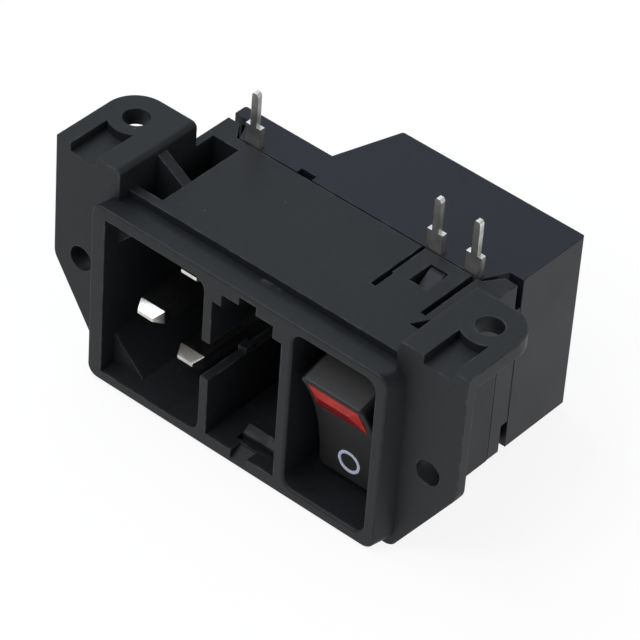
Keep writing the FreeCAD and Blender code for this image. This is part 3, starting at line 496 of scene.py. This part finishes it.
def makeCatchRamp():
    # steep front of the sill that the fuse drawer's catch snaps behind
    work = bmesh.new()
    profile = ((catchRamp["front"], catchRamp["foot"]), (catchRamp["back"], catchRamp["foot"]),
               (catchRamp["back"], catchRamp["top"]))
    face = work.faces.new([work.verts.new((catchRamp["left"], y, z)) for y, z in profile])
    far = extruded(work, [face])
    bmesh.ops.translate(work, vec=(catchRamp["right"] - catchRamp["left"], 0, 0), verts=far)
    softenEdges(work, work.edges[:], catchRamp["edge"])
    ramp = finishPiece(work, "catchRamp", finishes["housing_black"])
    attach(ramp, "housing")
    print("catch ramp set in the fuse bay")


earCollar = {"span": 56.8 * mm, "back": 9.55 * mm, "seat": 15.2 * mm, "deep": 0.45 * mm, "hole": 1.8 * mm,
             "rim": 1.3 * mm, "edge": 0.15 * mm, "segments": 48}


def makeEarCollar(name, side):
    # low collar round the board screw's hole, under the ear
    work = bmesh.new()
    outer = earCollar["hole"] + earCollar["rim"]
    flatRing(work, outer, earCollar["rim"], earCollar["segments"])
    low = extruded(work, work.faces[:])
    bmesh.ops.translate(work, vec=(0, 0, -earCollar["deep"]), verts=low)
    rim = [edge for edge in work.edges if all(vert in low and vert.co.xy.length > outer - earCollar["edge"]
                                              for vert in edge.verts)]
    softenEdges(work, rim, earCollar["edge"])
    place = (side * earCollar["span"] / 2, earCollar["back"], earCollar["seat"])
    bmesh.ops.translate(work, vec=place, verts=work.verts)
    collar = finishPiece(work, name, finishes["housing_black"])
    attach(collar, "housing")
    print(name, "set under its ear")


stageSet = {"floorSize": 3.0, "floorDrop": 0.02 * mm, "white": 0.94, "rough": 0.9, "glow": 0.88,
            "worldLight": 0.47}


def makeStage():
    work = bmesh.new()
    bmesh.ops.create_grid(work, x_segments=1, y_segments=1, size=stageSet["floorSize"])
    bmesh.ops.translate(work, vec=(0, 0, cadBox[0][2] - stageSet["floorDrop"]), verts=work.verts)
    mesh = bpy.data.meshes.new("floor")
    work.to_mesh(mesh)
    work.free()
    floor = bpy.data.objects.new("floor", mesh)
    bpy.context.scene.collection.objects.link(floor)

    material, tree, shader = newMaterial("floorWhite")
    path = [tree.node("ShaderNodeLightPath", out=name)
            for name in ("Is Camera Ray", "Is Glossy Ray", "Is Transmission Ray")]
    seen = path[0] + path[1] + path[2]
    tree.feed(shader.inputs, {"Base Color": grey(stageSet["white"]), "Roughness": stageSet["rough"],
                              "Specular IOR Level": 0.0})
    glow = tree.node("ShaderNodeEmission", None, {"Color": grey(1.0), "Strength": 1.0})
    lit = Wire(tree.tree, shader.outputs[0])
    mixed = tree.node("ShaderNodeMixShader", None, {0: seen * stageSet["glow"], 1: lit, 2: glow})
    tree.feed(material.node_tree.nodes["Material Output"].inputs, {"Surface": mixed})
    mesh.materials.append(material)

    world = bpy.data.worlds.new("studio")
    world.use_nodes = True
    bpy.context.scene.world = world
    sky = Wire(world.node_tree)
    camera = sky.node("ShaderNodeLightPath", out="Is Camera Ray")
    strength = camera * (1 - stageSet["worldLight"]) + stageSet["worldLight"]
    sky.feed(world.node_tree.nodes["Background"].inputs, {"Color": grey(1.0), "Strength": strength})
    print("stage ready")


lamps = {
    "overheadSoftbox": {"place": (-0.40, 0.0, 0.74), "size": 0.50, "power": 2.6, "colour": (0.86, 0.94, 1.0)},
    "frontSoftbox": {"place": (-0.12, -0.50, 0.70), "size": 0.45, "power": 3.2, "colour": (1.0, 1.0, 1.0)},
    "rightSoftbox": {"place": (0.72, 0.10, 0.30), "size": 0.50, "power": 0.68, "colour": (1.0, 0.95, 1.0)},
    "backSoftbox": {"place": (-0.40, 0.55, 0.52), "size": 0.50, "power": 0.6, "colour": (0.70, 0.84, 1.0)},
}


def makeLamps():
    for name, lamp in lamps.items():
        light = bpy.data.lights.new(name, "AREA")
        light.shape = "SQUARE"
        light.size = lamp["size"]
        light.energy = lamp["power"]
        light.color = lamp["colour"]
        item = bpy.data.objects.new(name, light)
        item.location = lamp["place"]
        item.rotation_euler = (-Vector(lamp["place"])).to_track_quat("-Z", "Y").to_euler()
        bpy.context.scene.collection.objects.link(item)
    print("lamps:", ", ".join(lamps))


cameraSet = {"place": (0.239539, -0.292397, 0.327436), "turn": (49.685, -3.2982, 40.8793), "lens": 229.815,
             "sensor": 36.0, "nearest": 0.01}


def makeCamera():
    data = bpy.data.cameras.new("photoView")
    data.sensor_width = cameraSet["sensor"]
    data.lens = cameraSet["lens"]
    data.clip_start = cameraSet["nearest"]
    item = bpy.data.objects.new("photoView", data)
    item.location = cameraSet["place"]
    item.rotation_euler = Euler([math.radians(angle) for angle in cameraSet["turn"]])
    bpy.context.scene.collection.objects.link(item)
    bpy.context.scene.camera = item
    print("camera set")


bpy.context.scene.view_settings.view_transform = "Standard"
makeCamera()
makeStage()
makeLamps()
dressNodes()
makeOffMark()
makeLens()
makeSpring("line", -1)
makeSpring("neutral", 1)
makeHousing()
makeLatchStub()
makeCatchRamp()
makeEarCollar("leftEarCollar", -1)
makeEarCollar("rightEarCollar", 1)
